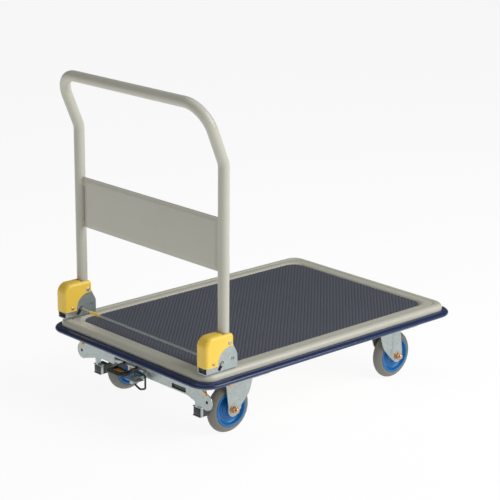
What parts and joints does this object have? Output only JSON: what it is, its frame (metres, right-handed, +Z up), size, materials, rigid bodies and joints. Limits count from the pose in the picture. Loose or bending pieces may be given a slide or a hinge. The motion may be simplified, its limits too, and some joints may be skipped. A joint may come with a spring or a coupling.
{
  "type": "folding platform cart",
  "caption": "Folding platform cart with a rubber-topped steel deck, fold-down loop handle, rod lock, foot brake, fixed casters and swivel casters.",
  "frame": {"origin": "on the floor, under the middle of the deck and its bumper", "axes": "+X along the deck from the handle end to the far end, +Y across the deck to the left of someone who pushes, +Z up"},
  "size_m": [0.905, 0.632, 0.8739],
  "materials": {
    "deck_paint": "satin powder coat, warm light grey",
    "zinc_steel": "bright zinc plating with a faint blue cast",
    "yellow_plastic": "moulded, semi-gloss",
    "bumper_vinyl": "glossy soft vinyl",
    "mat_rubber": "matt, ribbed",
    "hub_nylon": "moulded nylon, semi-gloss",
    "tyre_rubber": "non-marking rubber, matt",
    "yellow_zinc": "yellow-passivated zinc",
    "dark_steel": "black oxide",
    "shoe_rubber": "matt",
    "pad_rubber": "plain orange grip pad"
  },
  "bodies": {
    "chassis": {"deck_panel": "deck_paint", "deck_mat": "mat_rubber", "edge_bumper": "bumper_vinyl", "cross_member_handle_end": "zinc_steel", "cross_member_far_end": "zinc_steel", "hinge_bracket_left": "zinc_steel", "hinge_cover_left": "yellow_plastic", "cover_rivet_lower_left": "yellow_zinc", "cover_rivet_upper_outer_left": "zinc_steel", "cover_rivet_upper_inner_left": "zinc_steel", "pivot_pin_left": "zinc_steel", "lock_spring_left": "dark_steel", "rigid_left_fork": "zinc_steel", "rigid_left_axle_bolt": "yellow_zinc", "rigid_left_axle_nut": "yellow_zinc", "swivel_left_top_plate": "zinc_steel", "swivel_left_race": "zinc_steel", "hinge_bracket_right": "zinc_steel", "hinge_cover_right": "yellow_plastic", "cover_rivet_lower_right": "yellow_zinc", "cover_rivet_upper_outer_right": "zinc_steel", "cover_rivet_upper_inner_right": "zinc_steel", "pivot_pin_right": "zinc_steel", "lock_spring_right": "dark_steel", "rigid_right_fork": "zinc_steel", "rigid_right_axle_bolt": "yellow_zinc", "rigid_right_axle_nut": "yellow_zinc", "swivel_right_top_plate": "zinc_steel", "swivel_right_race": "zinc_steel", "brake_beam": "zinc_steel", "brake_return_spring": "dark_steel"},
    "handle": {"handle_tube": "deck_paint", "handle_panel": "deck_paint", "handle_foot_left": "zinc_steel", "handle_foot_right": "zinc_steel"},
    "lock_bar": {"lock_rod": "zinc_steel", "lock_rod_sleeve": "yellow_plastic"},
    "brake": {"brake_shaft": "zinc_steel", "brake_shoe_left": "shoe_rubber", "brake_shoe_right": "shoe_rubber", "brake_pedal": "dark_steel", "brake_pedal_pad": "pad_rubber", "brake_release_lever": "zinc_steel", "release_stirrup": "dark_steel"},
    "rigid_wheel_left": {"rigid_left_hub": "hub_nylon", "rigid_left_tyre": "tyre_rubber"},
    "swivel_left": {"swivel_left_fork": "zinc_steel", "swivel_left_axle_bolt": "yellow_zinc", "swivel_left_axle_nut": "yellow_zinc"},
    "swivel_wheel_left": {"swivel_left_hub": "hub_nylon", "swivel_left_tyre": "tyre_rubber"},
    "rigid_wheel_right": {"rigid_right_hub": "hub_nylon", "rigid_right_tyre": "tyre_rubber"},
    "swivel_right": {"swivel_right_fork": "zinc_steel", "swivel_right_axle_bolt": "yellow_zinc", "swivel_right_axle_nut": "yellow_zinc"},
    "swivel_wheel_right": {"swivel_right_hub": "hub_nylon", "swivel_right_tyre": "tyre_rubber"}
  },
  "joints": [
    {"name": "handle_fold", "type": "hinge", "parent": "chassis", "child": "handle", "pos_m": [-0.345, 0, 0.238], "axis": [0, 1, 0], "range_deg": [0, 90]},
    {"name": "lock_release", "type": "slide", "parent": "chassis", "child": "lock_bar", "axis": [-0.5452, 0, -0.8383], "range_m": [0, 0.013], "stiffness_N_per_m": 300, "springref_m": -0.02},
    {"name": "brake_press", "type": "hinge", "parent": "chassis", "child": "brake", "pos_m": [-0.372, 0, 0.128], "axis": [0, 1, 0], "range_deg": [-4.5, 0], "stiffness_Nm_per_rad": 6, "springref_deg": 17.19},
    {"name": "rigid_spin_left", "type": "hinge", "parent": "chassis", "child": "rigid_wheel_left", "pos_m": [-0.2755, 0.2, 0.065], "axis": [0, 1, 0], "continuous": true},
    {"name": "swivel_turn_left", "type": "hinge", "parent": "chassis", "child": "swivel_left", "pos_m": [0.283, 0.2, 0.15], "axis": [0, 0, 1], "continuous": true},
    {"name": "swivel_spin_left", "type": "hinge", "parent": "swivel_left", "child": "swivel_wheel_left", "pos_m": [0.32, 0.2, 0.065], "axis": [0, 1, 0], "continuous": true},
    {"name": "rigid_spin_right", "type": "hinge", "parent": "chassis", "child": "rigid_wheel_right", "pos_m": [-0.2755, -0.2, 0.065], "axis": [0, 1, 0], "continuous": true},
    {"name": "swivel_turn_right", "type": "hinge", "parent": "chassis", "child": "swivel_right", "pos_m": [0.283, -0.2, 0.15], "axis": [0, 0, 1], "continuous": true},
    {"name": "swivel_spin_right", "type": "hinge", "parent": "swivel_right", "child": "swivel_wheel_right", "pos_m": [0.32, -0.2, 0.065], "axis": [0, 1, 0], "continuous": true}
  ]
}
